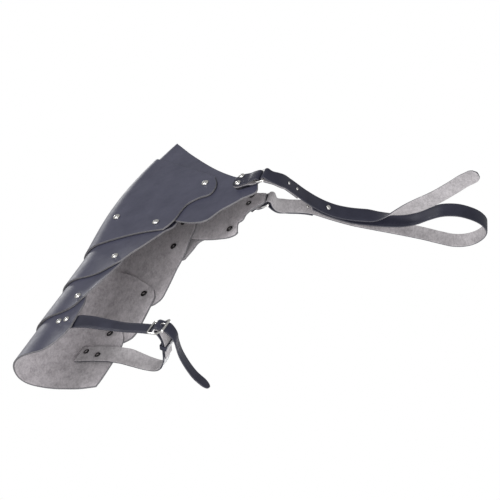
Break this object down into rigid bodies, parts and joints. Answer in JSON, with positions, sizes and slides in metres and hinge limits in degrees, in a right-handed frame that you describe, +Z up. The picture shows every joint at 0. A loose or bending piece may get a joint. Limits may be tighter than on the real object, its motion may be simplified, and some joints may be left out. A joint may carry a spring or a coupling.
{
  "type": "leather pauldron",
  "caption": "Layered leather shoulder guard for the right shoulder, with overlapping riveted plates, a buckled arm strap and a chest strap.",
  "frame": {"origin": "inside of the crown where the cap sits on the shoulder, 60 mm down the crown line from the neck", "axes": "+Z up as worn, -X down the arm, +X to the chest, -Y the wearer's front"},
  "size_m": [0.5743, 0.259, 0.446],
  "materials": {
    "plate_leather": "satin",
    "strap_leather": "satin",
    "rivets": "polished",
    "wire_fittings": "polished"
  },
  "bodies": {
    "root": {"neck_plate": "plate_leather", "shoulder_cap": "plate_leather", "upper_lame": "plate_leather", "middle_lame": "plate_leather", "lower_lame": "plate_leather", "arm_strap": "strap_leather", "buckle_strap": "strap_leather", "strap_keeper": "strap_leather", "strap_tab_front": "strap_leather", "strap_tab_back": "strap_leather", "chest_strap_billet": "strap_leather", "chest_strap_loop": "strap_leather", "rivet_cap_lobe_front": "rivets", "rivet_cap_lobe_back": "rivets", "rivet_cap_middle_front": "rivets", "rivet_cap_middle_back": "rivets", "rivet_cap_side_front": "rivets", "rivet_cap_side_back": "rivets", "rivet_neck_inner_back": "rivets", "rivet_upper_front": "rivets", "rivet_upper_back": "rivets", "rivet_middle_front": "rivets", "rivet_middle_back": "rivets", "rivet_arm_strap_1": "rivets", "rivet_arm_strap_2": "rivets", "rivet_buckle_strap_1": "rivets", "rivet_buckle_strap_2": "rivets", "rivet_tab_front_1": "rivets", "rivet_tab_front_2": "rivets", "rivet_tab_back_1": "rivets", "rivet_tab_back_2": "rivets", "rivet_billet_fold_1": "rivets", "rivet_billet_fold_2": "rivets", "rivet_loop_fold": "rivets", "chest_stud": "rivets", "buckle_frame": "wire_fittings", "buckle_tongue": "wire_fittings", "strap_ring_front": "wire_fittings", "strap_ring_back": "wire_fittings"}
  },
  "joints": []
}
